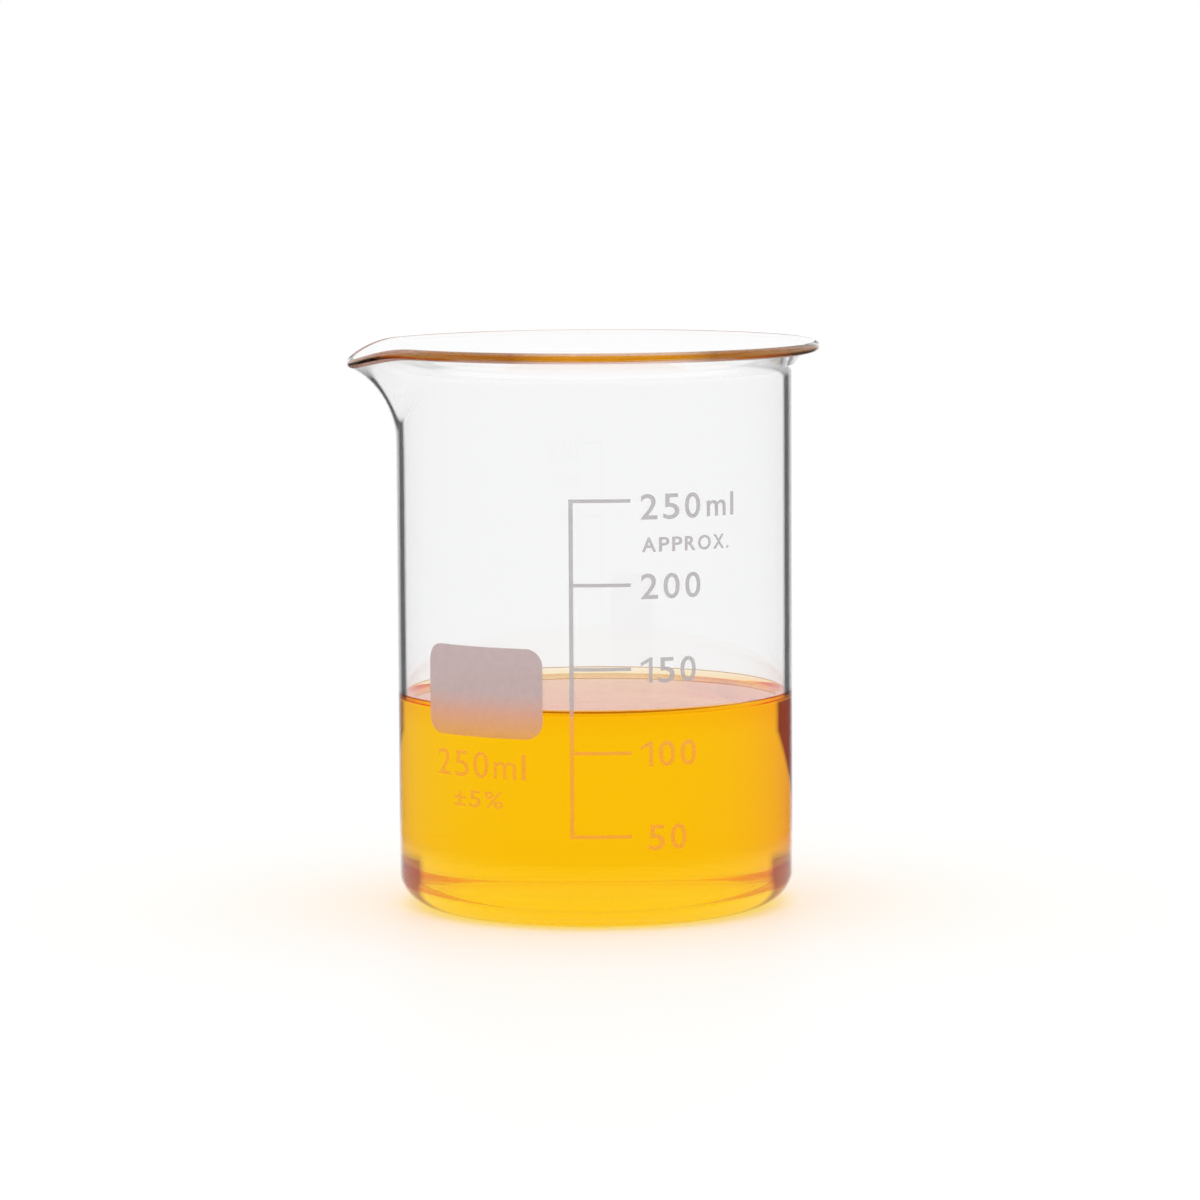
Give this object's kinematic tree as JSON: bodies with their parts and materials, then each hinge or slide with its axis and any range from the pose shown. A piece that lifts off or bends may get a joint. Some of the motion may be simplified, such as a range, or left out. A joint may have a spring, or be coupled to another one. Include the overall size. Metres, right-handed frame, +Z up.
{
  "type": "low form beaker",
  "caption": "Low form glass laboratory beaker with flared rim, pouring spout, graduation scale and marking field, holding an orange liquid.",
  "frame": {"origin": "centre of the flat foot, on the surface that the beaker stands on", "axes": "+Z up along the beaker's axis, the pouring spout towards -X, the graduation scale near -Y"},
  "size_m": [0.0834, 0.08, 0.0988],
  "materials": {
    "glass": "clear, fire polished",
    "liquid": "clear orange liquid",
    "enamel": "pale grey fired enamel"
  },
  "bodies": {
    "root": {"beaker": "glass", "liquid": "liquid", "graduation_scale": "enamel", "marking_field": "enamel"}
  },
  "joints": []
}
